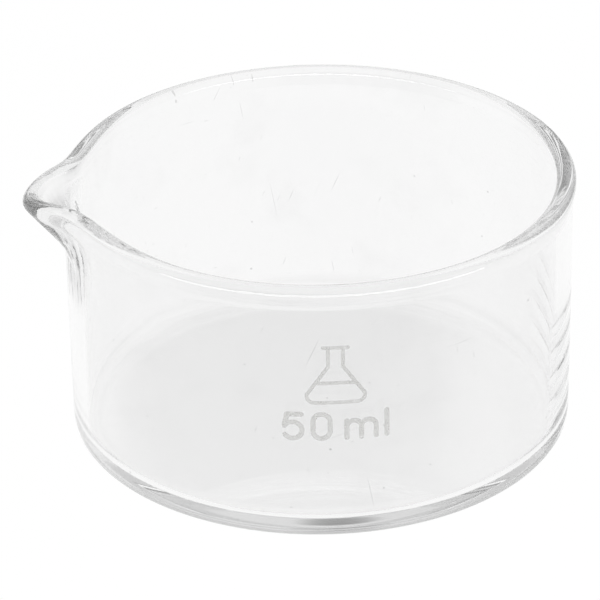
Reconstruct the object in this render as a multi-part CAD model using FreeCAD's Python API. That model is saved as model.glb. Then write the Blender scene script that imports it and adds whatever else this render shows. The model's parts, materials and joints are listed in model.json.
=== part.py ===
import FreeCAD
import Part
import os
from math import asin, atan2, cos, degrees, exp, hypot, log, pi, radians, sin

# Evaporating dish: a flat-bottomed glass bowl with upright walls, a fire-polished rim and a
# pouring spout pulled out of the rim, and two enamel marks fired onto the front of its wall.
#
# Millimetres, +Z up. The dish stands on Z = 0 with its axis on Z. The spout points along -X and
# the marks face -Y. Angles are in degrees, anticlockwise seen from above, from +X.

Vector = FreeCAD.Vector

# Bowl
HEIGHT = 32.4
WALL_OUTER_R = 30.0
WALL_THICK = 1.8
FLOOR_THICK = 1.8
HEEL_R = 1.8  # rounding between the outside of the wall and the underside
CORNER_R = 1.5  # rounding between the inside of the wall and the floor

# Fire-polished rim: the wall's edges melt round, and it gathers into a slightly thicker bead
RIM_ROUND = 0.75
BEAD_GATHER = 0.3  # extra thickness of the bead, as a share of the wall's
BEAD_FADE = (1.0, 2.6)  # depths below the rim between which the bead runs out into the wall

# Spout: the hot rim is pulled out over a bell-shaped width, and pinched a little at each side
SPOUT_ANGLE = 180.0
SPOUT_REACH = 4.5
SPOUT_HALF_WIDTH = 8.6  # degrees each side to where the reach has halved
SPOUT_FADE_OUT = (0.8, 7.9)  # depths over which the outer and the inner face return to the wall
SPOUT_FADE_IN = (0.2, 7.2)
PINCH = 0.22
PINCH_ANGLE = 30.0
PINCH_HALF_WIDTH = 13.0
LIP_DIP = 0.35  # the groove at the tip is this much lower than the rim
LIP_RISE = 0.45  # and the cheeks beside it are this much higher
LIP_RISE_ANGLE = 9.0
LIP_HALF_WIDTH = 5.0
LIP_FADE = (0.0, 4.0)

# The rim face is a smooth surface from this depth on the outside over to the same depth inside
RIM_FACE_DEPTH = 10.0
RIM_ROWS_EACH_SIDE = 17
ROUNDING_ROWS = 6
RIM_COLUMNS = 120

# Fired enamel marks: a flask pictogram above "50 ml", centred on one line up the wall
ENAMEL_THICK = 0.06
MARKS_ANGLE = 264.2
LETTER_STROKE = 0.58
LETTER_BASE_Z = 13.3
DIGIT_HEIGHT = 3.7
DIGIT_WIDTH = 2.5
M_HEIGHT = 2.75
M_WIDTH = 3.9
LETTER_GAP = 0.65
WORD_GAP = 1.3  # between the number and its unit
EMBLEM_STROKE = 0.42
EMBLEM_BASE_Z = 18.0
EMBLEM_HEIGHT = 7.4
FLASK_BASE_WIDTH = 7.0
FLASK_CORNER_R = 0.9
FLASK_NECK_WIDTH = 2.1
FLASK_NECK_HEIGHT = 2.4
FLASK_LIP_WIDTH = 3.2
FLASK_LEVEL = 2.5  # height of the liquid line above the flask's base

SEW_TOLERANCE = 0.002


def fade(depth, span):
    """1 above the first depth of the span, 0 below the second, with a smooth fall between."""
    share = min(max((depth - span[0]) / (span[1] - span[0]), 0.0), 1.0)
    return 1.0 - share * share * (3.0 - 2.0 * share)


def bell(angle, half_width):
    """1 at angle 0 and a half at the half width."""
    return exp(-log(2.0) * (angle / half_width) ** 2)


def rim_section():
    """(radius, depth below the rim) up the outside, over the rounded top and down the inside."""
    inner_r = WALL_OUTER_R - WALL_THICK
    rows = []
    for row in range(RIM_ROWS_EACH_SIDE):
        climb = row / RIM_ROWS_EACH_SIDE
        depth = RIM_FACE_DEPTH + (RIM_ROUND - RIM_FACE_DEPTH) * climb
        rows.append((WALL_OUTER_R, depth))
    for row in range(ROUNDING_ROWS):
        turn = 0.5 * pi * row / (ROUNDING_ROWS - 1)
        radius = WALL_OUTER_R - RIM_ROUND * (1.0 - cos(turn))
        rows.append((radius, RIM_ROUND * (1.0 - sin(turn))))
    for row in range(ROUNDING_ROWS):
        turn = 0.5 * pi * row / (ROUNDING_ROWS - 1)
        radius = inner_r + RIM_ROUND * (1.0 - sin(turn))
        rows.append((radius, RIM_ROUND * (1.0 - cos(turn))))
    for row in range(1, RIM_ROWS_EACH_SIDE + 1):
        fall = row / RIM_ROWS_EACH_SIDE
        depth = RIM_ROUND + (RIM_FACE_DEPTH - RIM_ROUND) * fall
        rows.append((inner_r, depth))
    return rows


def rim_point(radius, depth, angle):
    """A point of the rim's section, gathered, turned to an angle and moved by the spout's pull."""
    from_middle = radius - (WALL_OUTER_R - 0.5 * WALL_THICK)
    inside = 0.5 - from_middle / WALL_THICK
    off = (angle - SPOUT_ANGLE + 180.0) % 360.0 - 180.0
    fall = (1.0 - inside) * fade(depth, SPOUT_FADE_OUT) + inside * fade(depth, SPOUT_FADE_IN)
    pinch = PINCH * bell(abs(off) - PINCH_ANGLE, PINCH_HALF_WIDTH)
    pull = SPOUT_REACH * bell(off, SPOUT_HALF_WIDTH) - pinch
    r = radius + from_middle * BEAD_GATHER * fade(depth, BEAD_FADE) + pull * fall
    rise = LIP_RISE * bell(abs(off) - LIP_RISE_ANGLE, LIP_HALF_WIDTH)
    lift = rise - LIP_DIP * bell(off, LIP_HALF_WIDTH)
    z = HEIGHT - depth + lift * fade(depth, LIP_FADE)
    return Vector(r * cos(radians(angle)), r * sin(radians(angle)), z)


def rim_face():
    """The outer wall's top, the bead, the spout and the inner wall's top, as one face.

    A cubic surface that closes on itself round the dish. Its control points stand a little
    outside the circles that it passes through, by the factor that makes those circles exact.
    """
    step = 2.0 * pi / RIM_COLUMNS
    swell = 3.0 / (2.0 + cos(step))
    section = rim_section()
    rows = len(section)
    poles = []
    for column in range(RIM_COLUMNS):
        angle = 360.0 * column / RIM_COLUMNS
        points = [rim_point(*row, angle) for row in section]
        poles.append([Vector(p.x * swell, p.y * swell, p.z) for p in points])
    round_knots = list(range(RIM_COLUMNS + 1))
    up_knots = list(range(rows - 2))
    surface = Part.BSplineSurface()
    surface.buildFromPolesMultsKnots(
        poles,
        [1] * len(round_knots),
        [4] + [1] * (len(up_knots) - 2) + [4],
        round_knots,
        up_knots,
        True,
        False,
        3,
        3,
    )
    return surface.toShape()


def bowl_faces():
    """Underside, heel, walls, inside corner and floor, as turned faces up to the rim face."""
    inner_r = WALL_OUTER_R - WALL_THICK
    top_z = HEIGHT - RIM_FACE_DEPTH
    heel_mid = HEEL_R * (1.0 - cos(radians(45)))
    corner_mid = CORNER_R * (1.0 - cos(radians(45)))
    floor_z = FLOOR_THICK

    def at(r, z):
        return Vector(r, 0, z)

    outline = [
        Part.LineSegment(at(0, 0), at(WALL_OUTER_R - HEEL_R, 0)),
        Part.Arc(
            at(WALL_OUTER_R - HEEL_R, 0),
            at(WALL_OUTER_R - heel_mid, heel_mid),
            at(WALL_OUTER_R, HEEL_R),
        ),
        Part.LineSegment(at(WALL_OUTER_R, HEEL_R), at(WALL_OUTER_R, top_z)),
        Part.LineSegment(at(inner_r, top_z), at(inner_r, floor_z + CORNER_R)),
        Part.Arc(
            at(inner_r, floor_z + CORNER_R),
            at(inner_r - corner_mid, floor_z + corner_mid),
            at(inner_r - CORNER_R, floor_z),
        ),
        Part.LineSegment(at(inner_r - CORNER_R, floor_z), at(0, floor_z)),
    ]
    faces = []
    for edge in outline:
        faces += edge.toShape().revolve(Vector(0, 0, 0), Vector(0, 0, 1), 360).Faces
    return faces


def glass_dish():
    """The whole glass vessel as one closed solid."""
    shell = Part.makeCompound(bowl_faces() + [rim_face()])
    shell.sewShape(SEW_TOLERANCE)
    solid = Part.makeSolid(shell.Shells[0])
    if solid.Volume < 0:
        solid.reverse()
    return solid


def upright(x, z):
    """A point of the drawing plane, which stands in front of the wall."""
    return Vector(x, -WALL_OUTER_R - 1.0, z)


def through_wall(edges):
    """The prism that a closed outline in the drawing plane cuts through the front wall."""
    return Part.Face(Part.Wire(edges)).extrude(Vector(0, WALL_OUTER_R, 0))


def dot(x, z, width):
    """A round end or joint of a stroke."""
    centre = upright(x, z)
    return through_wall([Part.makeCircle(0.5 * width, centre, Vector(0, 1, 0))])


def straight_stroke(x1, z1, x2, z2, width):
    """A straight pen stroke with round ends."""
    length = hypot(x2 - x1, z2 - z1)
    side_x = 0.5 * width * (z2 - z1) / length
    side_z = -0.5 * width * (x2 - x1) / length
    corners = [
        upright(x1 + side_x, z1 + side_z),
        upright(x2 + side_x, z2 + side_z),
        upright(x2 - side_x, z2 - side_z),
        upright(x1 - side_x, z1 - side_z),
    ]
    sides = [Part.makeLine(corners[i - 1], corners[i]) for i in range(4)]
    return [through_wall(sides), dot(x1, z1, width), dot(x2, z2, width)]


def curved_stroke(x, z, radius, start, end, width):
    """A pen stroke round a centre, from one angle to another, with round ends."""

    def at(r, angle):
        return upright(x + r * cos(radians(angle)), z + r * sin(radians(angle)))

    def arc(r):
        return Part.Arc(at(r, start), at(r, 0.5 * (start + end)), at(r, end)).toShape()

    outer_r = radius + 0.5 * width
    inner_r = radius - 0.5 * width
    sides = [
        arc(outer_r),
        Part.makeLine(at(outer_r, end), at(inner_r, end)),
        arc(inner_r),
        Part.makeLine(at(inner_r, start), at(outer_r, start)),
    ]
    sides = Part.sortEdges(sides)[0]
    ends = [at(radius, angle) for angle in (start, end)]
    return [through_wall(sides)] + [dot(p.x, p.z, width) for p in ends]


def fire_on(strokes):
    """The strokes as one thin layer of enamel on the outside of the wall."""
    print_area = strokes[0].multiFuse(strokes[1:])
    skin = Part.makeCylinder(WALL_OUTER_R + ENAMEL_THICK, HEIGHT)
    skin = skin.cut(Part.makeCylinder(WALL_OUTER_R, HEIGHT))
    layer = skin.common(print_area).removeSplitter()
    layer.rotate(Vector(0, 0, 0), Vector(0, 0, 1), MARKS_ANGLE - 270.0)
    return layer


def digit_five(x):
    """The digit 5 with its left edge at x."""
    w = LETTER_STROKE
    left = x + 0.5 * w
    right = x + DIGIT_WIDTH - 0.5 * w
    base = LETTER_BASE_Z + 0.5 * w
    top = LETTER_BASE_Z + DIGIT_HEIGHT - 0.5 * w
    bowl_r = 0.5 * (right - left) + 0.1
    bowl_x = right - bowl_r
    bowl_z = base + bowl_r
    shoulder = radians(150)
    joint_x = bowl_x + bowl_r * cos(shoulder)
    joint_z = bowl_z + bowl_r * sin(shoulder)
    return (
        curved_stroke(bowl_x, bowl_z, bowl_r, -145, 150, w)
        + straight_stroke(joint_x, joint_z, left + 0.25, top, w)
        + straight_stroke(left + 0.25, top, right - 0.1, top, w)
    )


def digit_nought(x):
    """The digit 0 with its left edge at x."""
    w = LETTER_STROKE
    radius = 0.5 * (DIGIT_WIDTH - w)
    middle = x + 0.5 * DIGIT_WIDTH
    low = LETTER_BASE_Z + 0.5 * w + radius
    high = LETTER_BASE_Z + DIGIT_HEIGHT - 0.5 * w - radius
    return (
        curved_stroke(middle, low, radius, 180, 360, w)
        + curved_stroke(middle, high, radius, 0, 180, w)
        + straight_stroke(middle - radius, low, middle - radius, high, w)
        + straight_stroke(middle + radius, low, middle + radius, high, w)
    )


def letter_m(x):
    """A small m with its left edge at x."""
    w = LETTER_STROKE
    radius = 0.25 * (M_WIDTH - w)
    base = LETTER_BASE_Z + 0.5 * w
    spring = LETTER_BASE_Z + M_HEIGHT - 0.5 * w - radius
    left = x + 0.5 * w
    strokes = straight_stroke(left, base, left, spring + radius, w)
    for arch in range(2):
        near = left + 2.0 * radius * arch
        strokes += curved_stroke(near + radius, spring, radius, 0, 180, w)
        strokes += straight_stroke(near + 2.0 * radius, base, near + 2.0 * radius, spring, w)
    return strokes


def letter_l(x):
    """A small l with its left edge at x."""
    w = LETTER_STROKE
    middle = x + 0.5 * w
    top = LETTER_BASE_Z + DIGIT_HEIGHT - 0.5 * w
    return straight_stroke(middle, LETTER_BASE_Z + 0.5 * w, middle, top, w)


def capacity_mark():
    """The nominal capacity, 50 ml: one solid for each character, as one group."""
    width = 2.0 * DIGIT_WIDTH + LETTER_GAP + WORD_GAP + M_WIDTH + LETTER_GAP + LETTER_STROKE
    five_x = -0.5 * width
    nought_x = five_x + DIGIT_WIDTH + LETTER_GAP
    m_x = nought_x + DIGIT_WIDTH + WORD_GAP
    l_x = m_x + M_WIDTH + LETTER_GAP
    characters = [digit_five(five_x), digit_nought(nought_x), letter_m(m_x), letter_l(l_x)]
    return Part.makeCompound([fire_on(strokes) for strokes in characters])


def emblem():
    """A plain conical-flask pictogram: lip, neck, cone, base and liquid line."""
    w = EMBLEM_STROKE
    base = EMBLEM_BASE_Z + 0.5 * w
    top = EMBLEM_BASE_Z + EMBLEM_HEIGHT - 0.5 * w
    neck_x = 0.5 * (FLASK_NECK_WIDTH - w)
    neck_z = top - FLASK_NECK_HEIGHT
    lip_x = 0.5 * (FLASK_LIP_WIDTH - w)
    corner_x = 0.5 * (FLASK_BASE_WIDTH - w) - FLASK_CORNER_R
    corner_z = base + FLASK_CORNER_R
    # The cone's side leaves the neck's foot as a tangent of the corner's circle
    run = hypot(corner_x - neck_x, neck_z - corner_z)
    lean = atan2(neck_z - corner_z, corner_x - neck_x)
    tangent = lean + asin(FLASK_CORNER_R / run)
    side = pi / 2.0 - tangent
    touch_x = corner_x + FLASK_CORNER_R * cos(side)
    touch_z = corner_z + FLASK_CORNER_R * sin(side)
    half_level = neck_x + (touch_x - neck_x) * (neck_z - base - FLASK_LEVEL) / (neck_z - touch_z)
    strokes = straight_stroke(-lip_x, top, lip_x, top, w)
    strokes += straight_stroke(-corner_x, base, corner_x, base, w)
    strokes += straight_stroke(-half_level, base + FLASK_LEVEL, half_level, base + FLASK_LEVEL, w)
    for hand in (-1, 1):
        strokes += straight_stroke(hand * neck_x, top, hand * neck_x, neck_z, w)
        strokes += straight_stroke(hand * neck_x, neck_z, hand * touch_x, touch_z, w)
    turn = degrees(side)
    strokes += curved_stroke(corner_x, corner_z, FLASK_CORNER_R, -90, turn, w)
    strokes += curved_stroke(-corner_x, corner_z, FLASK_CORNER_R, 180 - turn, 270, w)
    return fire_on(strokes)


PARTS = {
    "glass_dish": glass_dish,
    "emblem_print": emblem,
    "capacity_print": capacity_mark,
}

os.makedirs("parts", exist_ok=True)
for name, make in PARTS.items():
    shape = make()
    print(name, shape.isValid(), len(shape.Solids), "solids,", round(shape.Volume, 2), "mm3")
    shape.exportStep("parts/" + name + ".step")
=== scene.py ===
import json
from math import cos, pi, radians, sin

import bpy
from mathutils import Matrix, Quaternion, Vector


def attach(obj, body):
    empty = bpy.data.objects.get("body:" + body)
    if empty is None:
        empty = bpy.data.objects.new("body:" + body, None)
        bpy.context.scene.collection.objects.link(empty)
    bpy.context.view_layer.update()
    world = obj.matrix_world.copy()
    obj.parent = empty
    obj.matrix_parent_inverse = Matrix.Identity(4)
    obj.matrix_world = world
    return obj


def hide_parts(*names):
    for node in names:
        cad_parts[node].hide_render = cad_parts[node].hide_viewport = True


bl_info = {
    "name": "Evaporating dish",
    "version": (1, 0, 0),
    "blender": (4, 5, 0),
    "location": "3D View > Sidebar > Dish",
    "description": "A spouted glass evaporating dish with enamel marks, on a light table",
    "category": "Add Mesh",
}

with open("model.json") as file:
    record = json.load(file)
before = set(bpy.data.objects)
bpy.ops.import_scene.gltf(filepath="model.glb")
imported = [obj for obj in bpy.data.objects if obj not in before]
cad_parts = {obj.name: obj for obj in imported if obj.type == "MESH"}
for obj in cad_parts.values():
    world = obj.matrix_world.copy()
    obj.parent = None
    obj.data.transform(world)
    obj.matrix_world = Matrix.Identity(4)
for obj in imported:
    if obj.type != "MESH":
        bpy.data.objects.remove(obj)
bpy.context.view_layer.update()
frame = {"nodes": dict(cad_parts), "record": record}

# The cheeks of the spout, on the -X side, stand a little above the rim
RIM_HEIGHT = max(v.co.z for v in frame["nodes"]["glass_dish"].data.vertices if v.co.x > 0.0)
WALL = next(mount for mount in frame["record"]["mounts"] if mount["name"] == "outer_wall")

MM = 0.001
MATH = "ShaderNodeMath"

# Sheet that the vessel is turned from: columns crowd at the spout and rows at the rim
COLUMNS = 320
ROWS = 270
CROWD_SPOUT = 0.6
CROWD_RIM = 0.65
ROUNDING_STEPS = 24

# Spout and lip, by depth below the rim and by angle from the middle of the spout
SPOUT_TOP_OUT = 0.8 * MM
SPOUT_TOP_IN = 0.2 * MM
PINCH_ANGLE = radians(30)
PINCH_WIDTH = radians(13)
LIP_WIDTH = radians(5)
LIP_RISE_ANGLE = radians(9)
LIP_DEPTH = 4.0 * MM

# A point further from the axis than this is on the outer face of the wall
OUTER_FACE = 29.2 * MM

# The studio is turned with the camera, which stands this far round from the front
STUDIO_TURN = radians(-9.0)

# Soft patches of the studio: azimuth rightwards from straight behind the dish, elevation,
# radius of the core and of the soft edge, all in degrees, and the change in brightness
SKY_PATCHES = (
    (-160.0, 15.0, 12.0, 50.0, -0.8),
    (-90.0, 25.0, 8.0, 28.0, 0.7),
    (100.0, 18.0, 12.0, 45.0, 0.55),
    (0.0, 28.0, 12.0, 35.0, 0.2),
    (-3.0, 27.0, 3.0, 9.0, -0.6),
)
# Heights of a direction's unit vector between which the sky goes from low to high
SKY_RISE = (0.12, 0.35)

# Strip light: distance of its middle in front of the axis and above the table
STRIP_REACH = 0.16
STRIP_RISE = 0.05

TABLE_SIDE = 8.0
TABLE_GAP = 0.02 * MM

# Light runs far inside the glass round the rim, and a low limit turns the spout black
LIGHT_BOUNCES = 512

# Camera: its distance and rise from a point on the axis, how far its aim is to the right of
# that point and above it, and how far it is rolled
CAMERA_DISTANCE = 413.45 * MM
CAMERA_RISE = radians(28.326)
CAMERA_CENTRE = Vector((0.0, 0.0, 16.123 * MM))
CAMERA_AIM_RIGHT = -2.345 * MM
CAMERA_AIM_UP = -0.963 * MM
CAMERA_ROLL = radians(-0.917)
CAMERA_LENS = 207.46
CAMERA_SENSOR = 36.0

# Lean from the upright and turn about it of each lay of hairline scratches
SCRATCH_LAYS = (
    (radians(-10), 0.0),
    (radians(24), radians(-9)),
    (radians(90), radians(28)),
)


# ------------------------------------------------------------------ sizes, finish and studio

def linear(code):
    """An sRGB hex colour such as "#f2f4f3" as linear RGBA."""
    values = [int(code[i:i + 2], 16) / 255 for i in (1, 3, 5)]
    return [v / 12.92 if v <= 0.04045 else ((v + 0.055) / 1.055) ** 2.4 for v in values] + [1.0]


def length(name, description, default):
    """A size in metres."""
    return bpy.props.FloatProperty(
        name=name, description=description, default=default, min=0.0, unit="LENGTH", precision=5
    )


def colour(name, description, code):
    """A colour, from its sRGB hex value."""
    return bpy.props.FloatVectorProperty(
        name=name, description=description, default=linear(code), size=4, subtype="COLOR",
        min=0.0, max=1.0,
    )


def number(name, description, default, **settings):
    """A number that is neither a length nor a colour."""
    return bpy.props.FloatProperty(
        name=name, description=description, default=default, **settings
    )


class DishSizes(bpy.types.PropertyGroup):
    """Sizes of the glass vessel."""

    height: length("Height", "Rim above the bench", RIM_HEIGHT)
    wall_radius: length("Wall radius", "Outside of the wall", WALL["dims"]["r_mm"] * MM)
    wall_thickness: length("Wall thickness", "Glass in the wall", 1.8 * MM)
    floor_thickness: length("Floor thickness", "Glass in the base", 1.8 * MM)
    heel_radius: length("Heel radius", "Rounding under the wall", 1.8 * MM)
    corner_radius: length("Corner radius", "Rounding inside, wall to floor", 1.5 * MM)
    rim_radius: length("Rim rounding", "Melted rounding of the rim's two edges", 0.75 * MM)
    rim_gather: number("Rim gather", "Extra thickness of the fire-polished rim", 0.3)
    bead_start: length("Bead start", "Depth where the bead begins to fade", 1.0 * MM)
    bead_end: length("Bead end", "Depth where the bead has run out", 2.6 * MM)
    spout_reach: length("Spout reach", "How far the rim is pulled out", 4.5 * MM)
    spout_width: number(
        "Spout half width", "Angle from its middle to half the reach", radians(8.6),
        subtype="ANGLE",
    )
    spout_foot_out: length("Spout foot outside", "Depth of the spout outside", 7.9 * MM)
    spout_foot_in: length("Spout foot inside", "Depth of the spout inside", 7.2 * MM)
    pinch: length("Shoulder pinch", "How far the rim draws in beside the spout", 0.22 * MM)
    lip_dip: length("Lip dip", "How far the lip's groove is pressed down", 0.35 * MM)
    lip_rise: length("Lip rise", "How far the lip stands up beside its groove", 0.45 * MM)
    waviness: length("Waviness", "Uneven thickness of the glass", 0.03 * MM)


class DishFinish(bpy.types.PropertyGroup):
    """Colours and surface marks of the glass and the enamel, and painted shade along the glass's
    cords and draw marks.
    """

    glass: colour("Glass", "Tint of the glass surface", "#f9f9f9")
    glass_depth: colour("Glass depth", "Tint of the glass where it is thick", "#f0f0f0")
    enamel: colour("Enamel", "Fired enamel", "#e4e4e0")
    enamel_thin: colour("Thin enamel", "Enamel where it was squeezed thin", "#d0d0cc")
    worn: colour("Worn glass", "Glass under a scratch or a speck", "#c4c4c4")
    filmed: colour("Filmed glass", "Glass under a dry film", "#f6f6f6")
    # Painted shade: grey laid into the glass colour along the cords, where real cords only bend
    # darker light from the studio
    painted_cord_shade: colour("Painted cord shade", "Grey painted along the cords as shade", "#dedede")
    # Painted shade: grey laid into the glass colour along the draw marks under the spout, where
    # the real streaks only bend darker light
    painted_streak_shade: colour("Painted streak shade", "Grey painted along the draw marks as shade", "#d2d2d2")
    ream: length("Ream", "Height of the cords in the wall", 0.06 * MM)
    draw_marks: length("Draw marks", "Height of the tool's streaks at the spout", 0.05 * MM)


class DishStudio(bpy.types.PropertyGroup):
    """Light of the table, of the sky and of the strip."""

    table: colour("Light table", "Glow of the table", "#ffffff")
    sky_low: number("Low sky", "Brightness near the table", 0.36, min=0.0)
    sky_high: number("High sky", "Brightness overhead", 0.78, min=0.0)
    strip_width: length("Strip width", "Width of the strip light", 0.9)
    strip_height: length("Strip height", "Height of the strip light", 0.09)
    strip_power: number("Strip power", "Power of the strip light", 1.4, unit="POWER")


def add(tree, kind, inputs=(), **settings):
    """Adds a node, gives it its settings, and fills its inputs with values, nodes or sockets."""
    node = tree.nodes.new(kind)
    for name, value in settings.items():
        setattr(node, name, value)
    pairs = inputs.items() if isinstance(inputs, dict) else enumerate(inputs)
    for key, value in pairs:
        if isinstance(value, bpy.types.Node):
            value = value.outputs[0]
        if isinstance(value, bpy.types.NodeSocket):
            tree.links.new(value, node.inputs[key])
        else:
            node.inputs[key].default_value = value
    return node


# ------------------------------------------------------------------ glass vessel, by its rule

DISH_INPUTS = {
    "Height": "height",
    "Wall radius": "wall_radius",
    "Wall thickness": "wall_thickness",
    "Floor thickness": "floor_thickness",
    "Heel radius": "heel_radius",
    "Corner radius": "corner_radius",
    "Rim rounding": "rim_radius",
    "Rim gather": "rim_gather",
    "Bead start": "bead_start",
    "Bead end": "bead_end",
    "Spout reach": "spout_reach",
    "Spout half width": "spout_width",
    "Spout foot outside": "spout_foot_out",
    "Spout foot inside": "spout_foot_in",
    "Shoulder pinch": "pinch",
    "Lip dip": "lip_dip",
    "Lip rise": "lip_rise",
    "Waviness": "waviness",
}


def outline_curve(tree, sizes):
    """Six rounded corners, from the middle of the underside to the middle of the floor."""
    inner = add(tree, MATH, (sizes["Wall radius"], sizes["Wall thickness"]), operation="SUBTRACT")
    corners = (
        (0.0, 0.0, 0.0),
        (sizes["Wall radius"], 0.0, sizes["Heel radius"]),
        (sizes["Wall radius"], sizes["Height"], sizes["Rim rounding"]),
        (inner, sizes["Height"], sizes["Rim rounding"]),
        (inner, sizes["Floor thickness"], sizes["Corner radius"]),
        (0.0, sizes["Floor thickness"], 0.0),
    )
    places = add(tree, "GeometryNodeIndexSwitch", data_type="VECTOR")
    rounds = add(tree, "GeometryNodeIndexSwitch", data_type="FLOAT")
    index = add(tree, "GeometryNodeInputIndex")
    for switch in (places, rounds):
        while len(switch.index_switch_items) < len(corners):
            switch.index_switch_items.new()
        tree.links.new(index.outputs[0], switch.inputs["Index"])
    for slot, (radius, z, rounding) in enumerate(corners, start=1):
        place = add(tree, "ShaderNodeCombineXYZ", (radius, 0.0, z))
        tree.links.new(place.outputs[0], places.inputs[slot])
        if isinstance(rounding, bpy.types.NodeSocket):
            tree.links.new(rounding, rounds.inputs[slot])
    points = add(tree, "GeometryNodePoints", {"Count": len(corners), "Position": places})
    line = add(tree, "GeometryNodePointsToCurves", (points,))
    return add(
        tree, "GeometryNodeFilletCurve",
        {"Curve": line, "Count": ROUNDING_STEPS, "Radius": rounds, "Limit Radius": True},
        mode="POLY",
    )


def unrolled_sheet(tree, outline):
    """A sheet, the angle of each column, and the outline's radius and height for each row."""
    sheet = add(tree, "GeometryNodeMeshGrid", {
        "Size X": 1.0, "Size Y": 1.0, "Vertices X": COLUMNS + 1, "Vertices Y": ROWS + 1,
    })
    spot = add(tree, "ShaderNodeSeparateXYZ", (add(tree, "GeometryNodeInputPosition"),))
    turn = add(tree, MATH, (spot.outputs["X"], 2.0 * pi, pi), operation="MULTIPLY_ADD")
    crowd = add(tree, MATH, (turn,), operation="SINE")
    angle = add(tree, MATH, (crowd, CROWD_SPOUT, turn), operation="MULTIPLY_ADD")
    along = add(tree, MATH, (spot.outputs["Y"], 0.5), operation="ADD")
    wave = add(tree, MATH, (along, 2.0 * pi), operation="MULTIPLY")
    wave = add(tree, MATH, (wave,), operation="SINE")
    factor = add(tree, MATH, (wave, CROWD_RIM / (2.0 * pi), along), operation="MULTIPLY_ADD")
    taken = add(
        tree, "GeometryNodeSampleCurve", {"Curves": outline, "Factor": factor},
        mode="FACTOR", use_all_curves=False,
    )
    place = add(tree, "ShaderNodeSeparateXYZ", (taken.outputs["Position"],))
    return sheet, angle, place.outputs["X"], place.outputs["Z"]


def uneven_skin(tree, geometry, waviness):
    """Blown glass wanders by a few hundredths of a millimetre, but not where the base is flat."""
    here = add(tree, "GeometryNodeInputPosition")
    wander = add(tree, "ShaderNodeTexNoise", {
        "Vector": here, "Scale": 1.0 / (14.0 * MM), "Detail": 2.0, "Roughness": 0.4,
    })
    centred = add(tree, MATH, (wander, 0.5), operation="SUBTRACT")
    above = add(tree, "ShaderNodeMapRange", {
        "Value": add(tree, "ShaderNodeSeparateXYZ", (here,)).outputs["Z"],
        "From Min": 0.3 * MM, "From Max": 2.0 * MM,
    })
    amount = add(tree, MATH, (centred, waviness), operation="MULTIPLY")
    amount = add(tree, MATH, (amount, above), operation="MULTIPLY")
    normal = add(tree, "GeometryNodeInputNormal")
    shift = add(tree, "ShaderNodeVectorMath", {0: normal, "Scale": amount}, operation="SCALE")
    return add(tree, "GeometryNodeSetPosition", {"Geometry": geometry, "Offset": shift})


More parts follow.
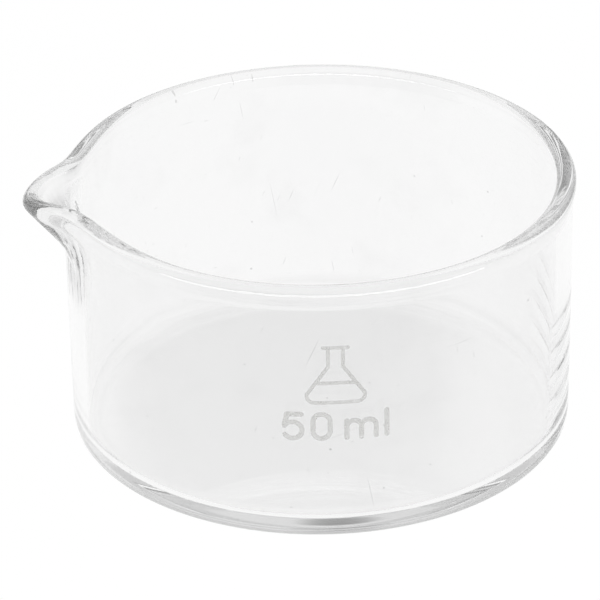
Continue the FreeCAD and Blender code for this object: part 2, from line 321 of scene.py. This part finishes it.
def dish_rule(material):
    """The vessel: a rounded outline turned about the axis, rim gathered and spout drawn out."""
    tree = bpy.data.node_groups.new("dish_by_rule", "GeometryNodeTree")
    for name in DISH_INPUTS:
        tree.interface.new_socket(name=name, in_out="INPUT", socket_type="NodeSocketFloat")
    tree.interface.new_socket(name="Geometry", in_out="OUTPUT", socket_type="NodeSocketGeometry")
    sizes = add(tree, "NodeGroupInput").outputs
    sheet, angle, radius, z = unrolled_sheet(tree, outline_curve(tree, sizes))
    depth = add(tree, MATH, (sizes["Height"], z), operation="SUBTRACT")

    def fade(start, end):
        """1 down to the first depth below the rim, 0 below the second."""
        return add(tree, "ShaderNodeMapRange", {
            "Value": depth, "From Min": start, "From Max": end, "To Min": 1.0, "To Max": 0.0,
        }, interpolation_type="SMOOTHSTEP")

    def bell(off, half_width, size):
        """The size in the middle, and half of it at the half width."""
        ratio = add(tree, MATH, (off, half_width), operation="DIVIDE")
        square = add(tree, MATH, (ratio, ratio), operation="MULTIPLY")
        fall = add(tree, MATH, (0.5, square), operation="POWER")
        return add(tree, MATH, (fall, size), operation="MULTIPLY")

    # A point's place in the wall, from 0 on the outer face to 1 on the inner face
    half_wall = add(tree, MATH, (sizes["Wall thickness"], 0.5), operation="MULTIPLY")
    middle = add(tree, MATH, (sizes["Wall radius"], half_wall), operation="SUBTRACT")
    from_middle = add(tree, MATH, (radius, middle), operation="SUBTRACT")
    side = add(tree, MATH, (from_middle, sizes["Wall thickness"]), operation="DIVIDE")
    inside = add(tree, MATH, (0.5, side), operation="SUBTRACT", use_clamp=True)

    # Rim: the wall swells about its own middle
    swell = fade(sizes["Bead start"], sizes["Bead end"])
    bead = add(tree, MATH, (sizes["Rim gather"], swell), operation="MULTIPLY")
    gathered = add(tree, MATH, (from_middle, bead, radius), operation="MULTIPLY_ADD")

    # Spout: the rim is drawn out in a bell-shaped stretch and pinched on each side of it.
    # Sockets 2 and 3 of the mix are its two numbers
    off = add(tree, MATH, (angle, pi), operation="SUBTRACT")
    beside = add(tree, MATH, (off,), operation="ABSOLUTE")
    fall = add(tree, "ShaderNodeMix", {
        "Factor": inside,
        2: fade(SPOUT_TOP_OUT, sizes["Spout foot outside"]),
        3: fade(SPOUT_TOP_IN, sizes["Spout foot inside"]),
    })
    past_pinch = add(tree, MATH, (beside, PINCH_ANGLE), operation="SUBTRACT")
    reach = bell(off, sizes["Spout half width"], sizes["Spout reach"])
    drawn_in = bell(past_pinch, PINCH_WIDTH, sizes["Shoulder pinch"])
    pull = add(tree, MATH, (reach, drawn_in), operation="SUBTRACT")
    pulled = add(tree, MATH, (pull, fall, gathered), operation="MULTIPLY_ADD")

    # Lip: a shallow groove between two raised cheeks
    past_cheek = add(tree, MATH, (beside, LIP_RISE_ANGLE), operation="SUBTRACT")
    rise = bell(past_cheek, LIP_WIDTH, sizes["Lip rise"])
    dip = bell(off, LIP_WIDTH, sizes["Lip dip"])
    lift = add(tree, MATH, (rise, dip), operation="SUBTRACT")
    height = add(tree, MATH, (lift, fade(0.0, LIP_DEPTH), z), operation="MULTIPLY_ADD")

    across = add(tree, MATH, (angle,), operation="COSINE")
    ahead = add(tree, MATH, (angle,), operation="SINE")
    x = add(tree, MATH, (pulled, across), operation="MULTIPLY")
    y = add(tree, MATH, (pulled, ahead), operation="MULTIPLY")
    place = add(tree, "ShaderNodeCombineXYZ", (x, y, height))
    turned = add(tree, "GeometryNodeSetPosition", {"Geometry": sheet, "Position": place})
    seam = {"Geometry": turned, "Distance": 0.001 * MM}
    closed = add(tree, "GeometryNodeMergeByDistance", seam)
    uneven = uneven_skin(tree, closed, sizes["Waviness"])
    smooth = add(tree, "GeometryNodeSetShadeSmooth", {"Geometry": uneven})
    plain = add(tree, "GeometryNodeRealizeInstances", (smooth,))
    done = add(tree, "GeometryNodeSetMaterial", {"Geometry": plain, "Material": material})
    add(tree, "NodeGroupOutput", (done,))
    return tree


# ------------------------------------------------------------------ materials

def bare_material(name):
    """A material with no nodes yet, and its tree."""
    material = bpy.data.materials.new(name)
    material.use_nodes = True
    material.node_tree.nodes.clear()
    return material, material.node_tree


def stretch_of(tree, value, low, high, soft):
    """1 between two values and 0 outside them, with a soft edge at each."""
    rising = add(tree, "ShaderNodeMapRange", {
        "Value": value, "From Min": low - soft, "From Max": low + soft,
    }, interpolation_type="SMOOTHSTEP")
    falling = add(tree, "ShaderNodeMapRange", {
        "Value": value, "From Min": high - soft, "From Max": high + soft,
        "To Min": 1.0, "To Max": 0.0,
    }, interpolation_type="SMOOTHSTEP")
    return add(tree, MATH, (rising, falling), operation="MULTIPLY")


def ream(tree, radius, angle, z):
    """Level cords 3.3 mm apart, low on the outer face to the right of the marks."""
    phase = add(tree, MATH, (z, 2.0 * pi / (3.3 * MM)), operation="MULTIPLY")
    ripple = add(tree, MATH, (phase,), operation="SINE")
    crest = add(tree, "ShaderNodeMapRange", {
        "Value": ripple, "From Min": -0.4, "From Max": 0.9,
    }, interpolation_type="SMOOTHSTEP")
    wide = stretch_of(tree, angle, radians(-33), radians(8), radians(6))
    tall = stretch_of(tree, z, 4.0 * MM, 18.0 * MM, 3.0 * MM)
    outside = add(tree, MATH, (radius, OUTER_FACE), operation="GREATER_THAN")
    patch = add(tree, MATH, (wide, tall), operation="MULTIPLY")
    patch = add(tree, MATH, (patch, outside), operation="MULTIPLY")
    return add(tree, MATH, (crest, patch), operation="MULTIPLY")


def draw_marks(tree, radius, angle, z):
    """Streaks about 1.5 mm apart, which the tool left under the spout as it drew the lip."""
    beside = add(tree, MATH, (angle,), operation="ABSOLUTE")
    beside = add(tree, MATH, (pi, beside), operation="SUBTRACT")
    along = add(tree, MATH, (angle, 30.0 * MM), operation="MULTIPLY")
    down = add(tree, MATH, (z, 0.1), operation="MULTIPLY")
    unrolled = add(tree, "ShaderNodeCombineXYZ", (along, 0.0, down))
    streaks = add(tree, "ShaderNodeTexNoise", {
        "Vector": unrolled, "Scale": 1.0 / (1.5 * MM), "Detail": 1.0,
    })
    streaks = add(tree, "ShaderNodeMapRange", {
        "Value": streaks, "From Min": 0.3, "From Max": 0.6,
    })
    wide = add(tree, "ShaderNodeMapRange", {
        "Value": beside, "From Min": radians(9), "From Max": radians(21),
        "To Min": 1.0, "To Max": 0.0,
    }, interpolation_type="SMOOTHSTEP")
    tall = stretch_of(tree, z, 20.5 * MM, 29.5 * MM, 2.5 * MM)
    outside = add(tree, MATH, (radius, OUTER_FACE), operation="GREATER_THAN")
    patch = add(tree, MATH, (wide, tall), operation="MULTIPLY")
    patch = add(tree, MATH, (patch, outside), operation="MULTIPLY")
    return add(tree, MATH, (streaks, patch), operation="MULTIPLY")


def scratches(tree, here, lean, turn):
    """Straight hairlines up to 6 mm long, all at one lean and turn.

    Each is a cell's core, drawn out fifty times. Real ones are 0.02 mm wide, and are drawn
    0.1 mm wide to show.
    """
    drawn = add(tree, "ShaderNodeMapping", {
        "Vector": here, "Rotation": (0.0, lean, turn), "Scale": (1.1 * MM, 1.1 * MM, 60.0 * MM),
    }, vector_type="TEXTURE")
    cells = add(tree, "ShaderNodeTexVoronoi", {"Vector": drawn, "Scale": 1.0})
    return add(tree, "ShaderNodeMapRange", {
        "Value": cells.outputs["Distance"], "From Min": 0.01, "From Max": 0.05,
        "To Min": 1.0, "To Max": 0.0,
    })


def specks(tree, here):
    """Dust and seeds about 0.3 mm wide, a few to each square centimetre."""
    cells = add(tree, "ShaderNodeTexVoronoi", {"Vector": here, "Scale": 1.0 / (3.5 * MM)})
    dot = add(tree, "ShaderNodeMapRange", {
        "Value": cells.outputs["Distance"], "From Min": 0.025, "From Max": 0.06,
        "To Min": 1.0, "To Max": 0.0,
    }, interpolation_type="SMOOTHSTEP")
    pick = add(tree, "ShaderNodeSeparateXYZ", (cells.outputs["Color"],))
    chosen = add(tree, MATH, (pick.outputs["X"], 0.7), operation="GREATER_THAN")
    return add(tree, MATH, (dot, chosen), operation="MULTIPLY")


def glass_material(finish):
    """Blown borosilicate glass, fire-polished at the rim.

    To the eye: clear and almost colourless, and a little grey where it is thick. It has
    level cords, streaks below the spout, hairline scratches, specks and a dry film, and grey
    shade is painted into its colour along the cords and streaks.
    """
    material, tree = bare_material("blown_borosilicate_glass")
    here = add(tree, "ShaderNodeTexCoord").outputs["Object"]
    spot = add(tree, "ShaderNodeSeparateXYZ", (here,))
    z = spot.outputs["Z"]
    angle = add(tree, MATH, (spot.outputs["Y"], spot.outputs["X"]), operation="ARCTAN2")
    speck = specks(tree, here)
    flat = add(tree, "ShaderNodeCombineXYZ", (spot.outputs["X"], spot.outputs["Y"], 0.0))
    radius = add(tree, "ShaderNodeVectorMath", (flat,), operation="LENGTH").outputs["Value"]
    # The cord and streak masks raise the bump, and also choose where painted grey shade goes into
    # the glass colour
    cord = ream(tree, radius, angle, z)
    streak = draw_marks(tree, radius, angle, z)
    height = add(tree, MATH, (cord, finish.ream), operation="MULTIPLY")
    height = add(tree, MATH, (streak, finish.draw_marks, height), operation="MULTIPLY_ADD")
    worn = speck
    for lean, turn in SCRATCH_LAYS:
        worn = add(tree, MATH, (worn, scratches(tree, here, lean, turn)), operation="MAXIMUM")

    # Dry film, patchy over about 9 mm, which dulls the polish a very little
    film = add(tree, "ShaderNodeTexNoise", {
        "Vector": here, "Scale": 1.0 / (9.0 * MM), "Detail": 3.0, "Roughness": 0.6,
    })
    dry = add(tree, "ShaderNodeMapRange", {
        "Value": film, "From Min": 0.52, "From Max": 0.72,
    }, interpolation_type="SMOOTHSTEP")
    rough = add(tree, MATH, (dry, 0.03), operation="MULTIPLY")

    # Sockets 6 and 7 of each mix are its two colours, and its output 2 is the result
    # The film, scratches and specks are the glass's own colour; the cord and streak layers are
    # painted shade
    tint = finish.glass
    layers = (
        (dry, finish.filmed),
        # painted shade along the cords
        (cord, finish.painted_cord_shade),
        # painted shade along the draw marks
        (streak, finish.painted_streak_shade),
        (worn, finish.worn),
    )
    for cover, shade in layers:
        mixed = add(tree, "ShaderNodeMix", {"Factor": cover, 6: tint, 7: shade}, data_type="RGBA")
        tint = mixed.outputs[2]
    bump = add(tree, "ShaderNodeBump", {"Height": height, "Strength": 1.0, "Distance": 1.0})
    shader = add(tree, "ShaderNodeBsdfPrincipled", {
        "Base Color": tint, "Roughness": rough, "IOR": 1.473,
        "Transmission Weight": 1.0, "Normal": bump,
    })
    thick = add(tree, "ShaderNodeVolumeAbsorption", {
        "Color": finish.glass_depth, "Density": 4.0,
    })
    add(tree, "ShaderNodeOutputMaterial", {"Surface": shader, "Volume": thick})
    return material


def enamel_material(finish):
    """Enamel screen-printed on the glass and fired.

    To the eye: a pale grey layer, half clear, with a soft sheen. It is mottled over about
    0.8 mm where the screen laid it unevenly, and it has pinholes 0.1 mm wide.
    """
    material, tree = bare_material("fired_screen_printed_enamel")
    here = add(tree, "ShaderNodeTexCoord").outputs["Object"]
    mottle = add(tree, "ShaderNodeTexNoise", {
        "Vector": here, "Scale": 1.0 / (0.8 * MM), "Detail": 4.0, "Roughness": 0.6,
    })
    # Sockets 6 and 7 of the mix are its two colours, and its output 2 is the result
    shade = add(tree, "ShaderNodeMix", {
        "Factor": mottle, 6: finish.enamel_thin, 7: finish.enamel,
    }, data_type="RGBA")
    pits = add(tree, "ShaderNodeTexVoronoi", {"Vector": here, "Scale": 1.0 / (0.45 * MM)})
    whole = add(tree, "ShaderNodeMapRange", {
        "Value": pits.outputs["Distance"], "From Min": 0.08, "From Max": 0.22,
    }, interpolation_type="SMOOTHSTEP")
    cover = add(tree, "ShaderNodeMapRange", {
        "Value": mottle, "From Min": 0.3, "From Max": 0.7, "To Min": 0.2, "To Max": 0.36,
    })
    cover = add(tree, MATH, (cover, whole), operation="MULTIPLY")
    relief = add(tree, MATH, (mottle, 0.01 * MM), operation="MULTIPLY")
    bump = add(tree, "ShaderNodeBump", {"Height": relief, "Strength": 1.0, "Distance": 1.0})
    shader = add(tree, "ShaderNodeBsdfPrincipled", {
        "Base Color": shade.outputs[2], "Roughness": 0.55, "IOR": 1.5,
        "Alpha": cover, "Normal": bump,
    })
    add(tree, "ShaderNodeOutputMaterial", {"Surface": shader})
    return material


def table_material(studio):
    """Opal acrylic over lamps.

    To the eye: an even white glow, very slightly clouded over about 150 mm.
    """
    material, tree = bare_material("opal_acrylic_light_table")
    here = add(tree, "ShaderNodeTexCoord").outputs["Object"]
    clouds = add(tree, "ShaderNodeTexNoise", {"Vector": here, "Scale": 1.0 / (150.0 * MM)})
    glow = add(tree, "ShaderNodeMapRange", {"Value": clouds, "To Min": 0.99, "To Max": 1.01})
    shader = add(tree, "ShaderNodeEmission", {"Color": studio.table, "Strength": glow})
    add(tree, "ShaderNodeOutputMaterial", {"Surface": shader})
    return material


# ------------------------------------------------------------------ makers

class DISH_OT_glass(bpy.types.Operator):
    """Turns the vessel: base, wall, fire-polished rim and drawn spout."""

    bl_idname = "dish.glass"
    bl_label = "Glass dish"

    def execute(self, context):
        scene = context.scene
        tree = dish_rule(glass_material(scene.dish_finish))
        piece = bpy.data.objects.new("glass_vessel", bpy.data.meshes.new("vessel_sheet"))
        scene.collection.objects.link(piece)
        rule = piece.modifiers.new("rule", "NODES")
        rule.node_group = tree
        for socket in tree.interface.items_tree:
            if socket.in_out == "INPUT":
                rule[socket.identifier] = getattr(scene.dish_sizes, DISH_INPUTS[socket.name])
        context.view_layer.update()
        ready = piece.evaluated_get(context.evaluated_depsgraph_get())
        mesh = bpy.data.meshes.new_from_object(ready)
        if not mesh.polygons:
            raise RuntimeError("the vessel's rule made no faces")
        mesh.name = "glass_vessel"
        piece.modifiers.remove(rule)
        piece.data = mesh
        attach(piece, "root")
        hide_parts("glass_dish")
        return {"FINISHED"}


class DISH_OT_enamel(bpy.types.Operator):
    """Finishes the two marks that are fired onto the wall."""

    bl_idname = "dish.enamel"
    bl_label = "Enamel marks"

    def execute(self, context):
        enamel = enamel_material(context.scene.dish_finish)
        for name in ("emblem_print", "capacity_print"):
            mesh = frame["nodes"][name].data
            mesh.materials.clear()
            mesh.materials.append(enamel)
        return {"FINISHED"}


class DISH_OT_stage(bpy.types.Operator):
    """Sets the light table, the studio light and the camera."""

    bl_idname = "dish.stage"
    bl_label = "Stage"

    def execute(self, context):
        scene = context.scene
        lay_table(scene.dish_studio)
        light_studio(scene)
        place_camera(scene)
        scene.cycles.max_bounces = LIGHT_BOUNCES
        scene.cycles.transmission_bounces = LIGHT_BOUNCES
        scene.cycles.glossy_bounces = LIGHT_BOUNCES
        scene.view_settings.view_transform = "Standard"
        return {"FINISHED"}


def lay_table(studio):
    """A glowing table, a hair below the dish."""
    bpy.ops.mesh.primitive_plane_add(size=TABLE_SIDE, location=(0.0, 0.0, -TABLE_GAP))
    table = bpy.context.object
    table.name = "light_table"
    table.data.materials.append(table_material(studio))


def light_studio(scene):
    """A plain grey studio, brighter overhead, with soft patches and a strip light in front."""
    studio = scene.dish_studio
    world = bpy.data.worlds.new("studio")
    scene.world = world
    world.use_nodes = True
    tree = world.node_tree
    tree.nodes.clear()
    way = add(tree, "ShaderNodeVectorRotate", {
        "Vector": add(tree, "ShaderNodeTexCoord").outputs["Generated"], "Angle": -STUDIO_TURN,
    }, rotation_type="Z_AXIS")
    sky = add(tree, "ShaderNodeMapRange", {
        "Value": add(tree, "ShaderNodeSeparateXYZ", (way,)).outputs["Z"],
        "From Min": SKY_RISE[0], "From Max": SKY_RISE[1],
        "To Min": studio.sky_low, "To Max": studio.sky_high,
    }, interpolation_type="SMOOTHSTEP")
    for azimuth, elevation, core, edge, change in SKY_PATCHES:
        level = cos(radians(elevation))
        aim = (
            sin(radians(azimuth)) * level, cos(radians(azimuth)) * level, sin(radians(elevation))
        )
        near = add(tree, "ShaderNodeVectorMath", {0: way, 1: aim}, operation="DOT_PRODUCT")
        patch = add(tree, "ShaderNodeMapRange", {
            "Value": near.outputs["Value"], "From Min": cos(radians(edge)),
            "From Max": cos(radians(core)), "To Min": 0.0, "To Max": change,
        }, interpolation_type="SMOOTHSTEP")
        sky = add(tree, MATH, (sky, patch), operation="ADD")
    sky = add(tree, MATH, (sky, 0.0), operation="MAXIMUM")
    glow = add(tree, "ShaderNodeBackground", {"Strength": sky})
    add(tree, "ShaderNodeOutputWorld", {"Surface": glow})

    # The strip stands low in front, and shows only as a gleam along the rim
    lamp = bpy.data.lights.new("strip_light", "AREA")
    lamp.shape = "RECTANGLE"
    lamp.size = studio.strip_width
    lamp.size_y = studio.strip_height
    lamp.energy = studio.strip_power
    strip = bpy.data.objects.new("strip_light", lamp)
    scene.collection.objects.link(strip)
    strip.location = (
        sin(STUDIO_TURN) * STRIP_REACH, -cos(STUDIO_TURN) * STRIP_REACH, STRIP_RISE
    )
    strip.rotation_euler = (radians(-90), 0.0, STUDIO_TURN + pi)
    strip.visible_camera = False
    strip.visible_transmission = False
    strip.visible_diffuse = False


def place_camera(scene):
    """Looks down at the dish from a little to the left of its front."""
    lens = bpy.data.cameras.new("camera")
    lens.sensor_width = CAMERA_SENSOR
    lens.lens = CAMERA_LENS
    lens.clip_start = 0.01
    lens.clip_end = 20.0
    camera = bpy.data.objects.new("camera", lens)
    scene.collection.objects.link(camera)
    level = cos(CAMERA_RISE)
    back = Vector((sin(STUDIO_TURN) * level, -cos(STUDIO_TURN) * level, sin(CAMERA_RISE)))
    right = Vector((cos(STUDIO_TURN), sin(STUDIO_TURN), 0.0))
    aim = CAMERA_CENTRE + right * CAMERA_AIM_RIGHT + back.cross(right) * CAMERA_AIM_UP
    camera.location = CAMERA_CENTRE + back * CAMERA_DISTANCE
    look = (aim - camera.location).normalized()
    rolled = Quaternion(-look, CAMERA_ROLL) @ look.to_track_quat("-Z", "Y")
    camera.rotation_mode = "QUATERNION"
    camera.rotation_quaternion = rolled
    scene.camera = camera


# ------------------------------------------------------------------ add-on

class VIEW3D_PT_dish(bpy.types.Panel):
    """Lists the dish's sizes, finish and studio, with the makers that use them."""

    bl_label = "Evaporating dish"
    bl_space_type = "VIEW_3D"
    bl_region_type = "UI"
    bl_category = "Dish"

    def draw(self, context):
        for key, (group, maker) in GROUPS.items():
            box = self.layout.box()
            for name in group.__annotations__:
                box.prop(getattr(context.scene, key), name)
            box.operator(maker.bl_idname)


GROUPS = {
    "dish_sizes": (DishSizes, DISH_OT_glass),
    "dish_finish": (DishFinish, DISH_OT_enamel),
    "dish_studio": (DishStudio, DISH_OT_stage),
}
CLASSES = (
    DishSizes,
    DishFinish,
    DishStudio,
    DISH_OT_glass,
    DISH_OT_enamel,
    DISH_OT_stage,
    VIEW3D_PT_dish,
)


def register():
    for cls in CLASSES:
        bpy.utils.register_class(cls)
    for key, (group, _) in GROUPS.items():
        setattr(bpy.types.Scene, key, bpy.props.PointerProperty(type=group))


def unregister():
    for key in GROUPS:
        delattr(bpy.types.Scene, key)
    for cls in reversed(CLASSES):
        bpy.utils.unregister_class(cls)


def main():
    register()
    bpy.ops.dish.glass()
    bpy.ops.dish.enamel()
    bpy.ops.dish.stage()


if __name__ == "__main__":
    main()
